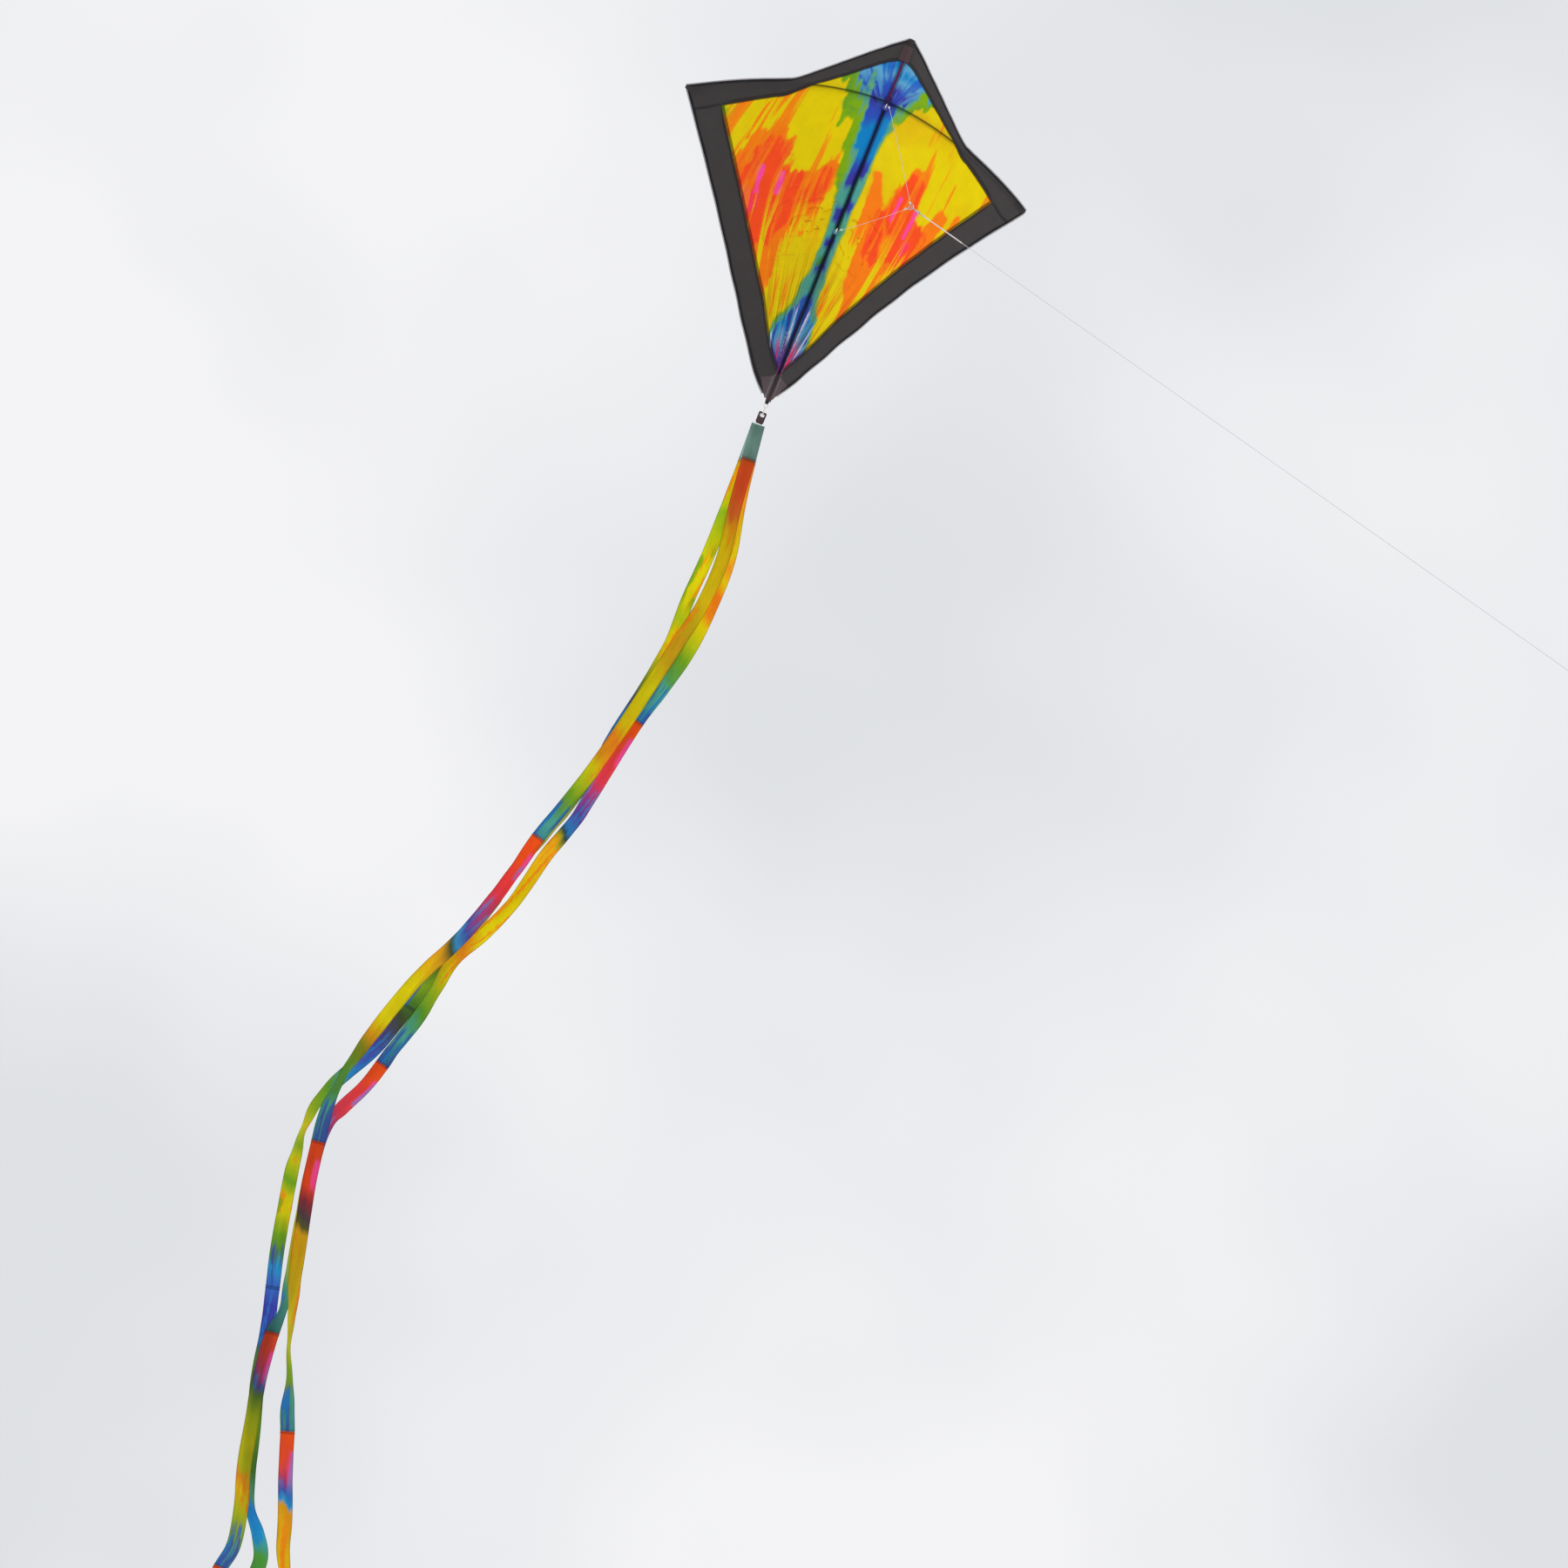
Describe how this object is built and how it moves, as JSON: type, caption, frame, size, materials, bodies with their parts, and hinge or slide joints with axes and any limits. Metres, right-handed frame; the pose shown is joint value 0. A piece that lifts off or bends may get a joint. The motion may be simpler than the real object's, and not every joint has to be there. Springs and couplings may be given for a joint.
{
  "type": "diamond kite",
  "caption": "Bowed diamond kite with a dyed fabric sail, spine and spar, two-leg bridle, flying line on a snap swivel and three long ribbon streamers.",
  "frame": {"origin": "where the spar crosses the spine, on the spine's axis", "axes": "+Z along the spine towards the nose, +X towards the wing tip on the viewer's right when looking at the face, -Y out of the face towards the flyer"},
  "size_m": [1.5294, 1.7822, 3.108],
  "materials": {
    "dyed ripstop": "tie-dyed translucent ripstop nylon",
    "black ripstop": "thin translucent charcoal ripstop nylon",
    "black hem tape": "folded and stitched hem",
    "maroon webbing": "woven webbing",
    "black fibreglass": "pultruded rod",
    "black vinyl": "moulded, satin",
    "white braided cord": "braided",
    "nickel plated steel": "nickel plated wire",
    "dyed ribbon": "tie-dyed translucent ripstop strip"
  },
  "bodies": {
    "frame": {"spine_rod": "black fibreglass", "nose_cap": "black vinyl", "tail_cap": "black vinyl", "spine_sleeve_upper": "black ripstop", "spine_sleeve_lower": "black ripstop", "cross_connector": "black vinyl", "nose_pocket": "maroon webbing", "tail_pocket": "maroon webbing", "upper_bridle_patch": "maroon webbing", "lower_bridle_patch": "maroon webbing", "upper_bridle_eye": "white braided cord", "lower_bridle_eye": "white braided cord", "tail_anchor": "white braided cord"},
    "left_wing": {"left_sail_panel": "dyed ripstop", "left_leading_border": "black ripstop", "left_trailing_border": "black ripstop", "left_leading_hem": "black hem tape", "left_trailing_hem": "black hem tape", "left_spar": "black fibreglass", "left_spar_socket": "black vinyl", "left_spar_cap": "black vinyl", "left_tip_pocket": "black ripstop"},
    "right_wing": {"right_sail_panel": "dyed ripstop", "right_leading_border": "black ripstop", "right_trailing_border": "black ripstop", "right_leading_hem": "black hem tape", "right_trailing_hem": "black hem tape", "right_spar": "black fibreglass", "right_spar_socket": "black vinyl", "right_spar_cap": "black vinyl", "right_tip_pocket": "black ripstop"},
    "bridle": {"upper_bridle_leg": "white braided cord", "lower_bridle_leg": "white braided cord", "tow_ring": "nickel plated steel"},
    "clip": {"snap_clip": "nickel plated steel", "swivel_barrel": "nickel plated steel"},
    "line": {"swivel_eye": "nickel plated steel", "flying_line": "white braided cord", "line_end_loop": "white braided cord"},
    "tail_link": {"tail_link_cord": "white braided cord"},
    "tail_tab": {"tail_tab": "maroon webbing", "tail_eyelet": "nickel plated steel"},
    "front_streamer": {"front_streamer_header": "dyed ribbon", "front_streamer_panel_1": "dyed ribbon", "front_streamer_panel_2": "dyed ribbon", "front_streamer_panel_3": "dyed ribbon", "front_streamer_panel_4": "dyed ribbon"},
    "middle_streamer": {"middle_streamer_header": "dyed ribbon", "middle_streamer_panel_1": "dyed ribbon", "middle_streamer_panel_2": "dyed ribbon", "middle_streamer_panel_3": "dyed ribbon", "middle_streamer_panel_4": "dyed ribbon", "middle_streamer_panel_5": "dyed ribbon"},
    "back_streamer": {"back_streamer_header": "dyed ribbon", "back_streamer_panel_1": "dyed ribbon", "back_streamer_panel_2": "dyed ribbon", "back_streamer_panel_3": "dyed ribbon", "back_streamer_panel_4": "dyed ribbon"}
  },
  "joints": [
    {"name": "left_wing_flex", "type": "hinge", "parent": "frame", "child": "left_wing", "pos_m": [0, 0, 0], "axis": [0, 0, 1], "range_deg": [-5, 5], "stiffness_Nm_per_rad": 3},
    {"name": "right_wing_flex", "type": "hinge", "parent": "frame", "child": "right_wing", "pos_m": [0, 0, 0], "axis": [0, 0, 1], "range_deg": [-5, 5], "stiffness_Nm_per_rad": 3},
    {"name": "bridle_swing", "type": "hinge", "parent": "frame", "child": "bridle", "pos_m": [0, -0.0126, 0], "axis": [0, 0, 1], "range_deg": [-76, 15]},
    {"name": "clip_swing", "type": "hinge", "parent": "bridle", "child": "clip", "pos_m": [0.09666, -0.1234, -0.23452], "axis": [0, 0, 1], "range_deg": [-12, 12]},
    {"name": "line_swivel", "type": "hinge", "parent": "clip", "child": "line", "pos_m": [0.11156, -0.14245, -0.24864], "axis": [0.5321, -0.6802, -0.5041], "continuous": true},
    {"name": "tail_link_swing", "type": "hinge", "parent": "frame", "child": "tail_link", "pos_m": [0, 0, -0.6355], "axis": [1, 0, 0], "range_deg": [-25, 25]},
    {"name": "tail_sway", "type": "hinge", "parent": "tail_link", "child": "tail_tab", "pos_m": [0, 0, -0.65], "axis": [0, 1, 0], "range_deg": [-25, 25]},
    {"name": "front_streamer_sway", "type": "hinge", "parent": "tail_tab", "child": "front_streamer", "pos_m": [0, -0.0016, -0.6705], "axis": [0, 1, 0], "range_deg": [-8, 8]},
    {"name": "middle_streamer_sway", "type": "hinge", "parent": "tail_tab", "child": "middle_streamer", "pos_m": [0, 0, -0.6705], "axis": [0, 1, 0], "range_deg": [-8, 8]},
    {"name": "back_streamer_sway", "type": "hinge", "parent": "tail_tab", "child": "back_streamer", "pos_m": [0, 0.0016, -0.6705], "axis": [0, 1, 0], "range_deg": [-8, 8]}
  ]
}
